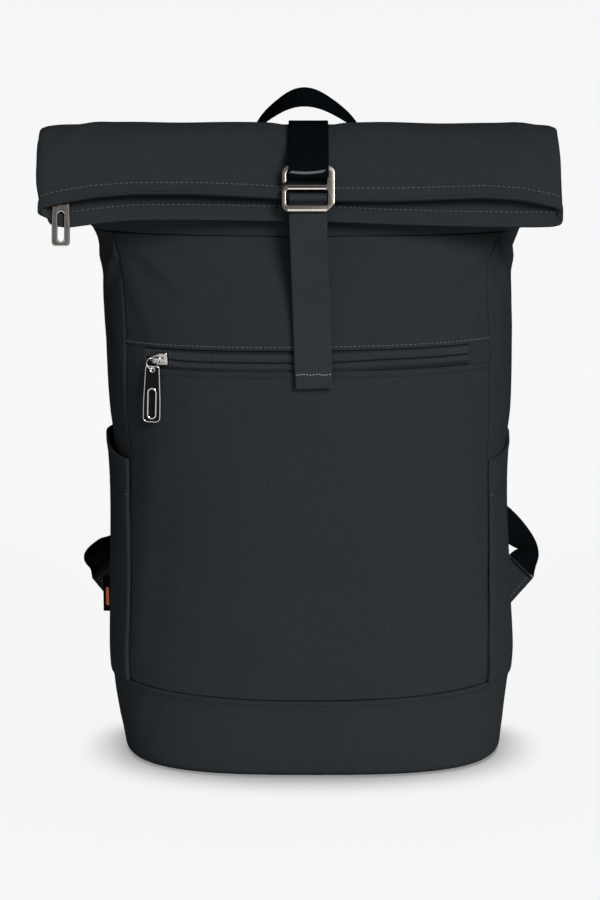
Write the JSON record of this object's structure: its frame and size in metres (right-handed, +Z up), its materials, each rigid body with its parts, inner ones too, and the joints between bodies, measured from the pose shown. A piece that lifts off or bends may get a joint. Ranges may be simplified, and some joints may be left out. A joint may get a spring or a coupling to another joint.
{
  "type": "roll-top backpack",
  "caption": "Roll-top daypack standing upright: cloth body, folded top held by a webbing strap and hook, zipped front pocket, side pockets, padded shoulder straps.",
  "frame": {"origin": "centre of the flat base, on the surface that the bag stands on", "axes": "+Z up; the front with the zipped pocket faces -Y, the shoulder straps are on the +Y side; +X is the right of the picture"},
  "size_m": [0.3518, 0.1731, 0.4635],
  "materials": {
    "main_cloth": "matte fine-woven slate-black cloth",
    "zip_tape": "matte tape and reverse coil in the cloth's colour",
    "grey_webbing": "coarse woven grey-black webbing",
    "black_webbing": "smooth tight-woven black webbing",
    "dark_metal": "satin gunmetal plating",
    "bright_metal": "bright satin steel",
    "black_plastic": "matte black",
    "label": "woven label, black with a plain orange stripe"
  },
  "bodies": {
    "root": {"base": "main_cloth", "front_lower_panel": "main_cloth", "front_upper_panel": "main_cloth", "front_zip_upper": "zip_tape", "front_zip_lower": "zip_tape", "zip_tab_left": "main_cloth", "zip_tab_right": "main_cloth", "front_zip_slider": "dark_metal", "front_zip_ring": "dark_metal", "front_zip_pull": "dark_metal", "side_panel_left": "main_cloth", "side_pocket_left": "main_cloth", "side_panel_right": "main_cloth", "side_pocket_right": "main_cloth", "back_panel": "main_cloth", "roll_top": "main_cloth", "mouth_zip": "zip_tape", "mouth_pull": "bright_metal", "top_strap": "black_webbing", "hook": "dark_metal", "front_strap": "grey_webbing", "haul_loop": "black_webbing", "shoulder_strap_left": "main_cloth", "strap_lock_left": "black_plastic", "strap_webbing_left": "black_webbing", "strap_wing_left": "main_cloth", "side_label": "label", "shoulder_strap_right": "main_cloth", "strap_lock_right": "black_plastic", "strap_webbing_right": "black_webbing", "strap_wing_right": "main_cloth"}
  },
  "joints": []
}
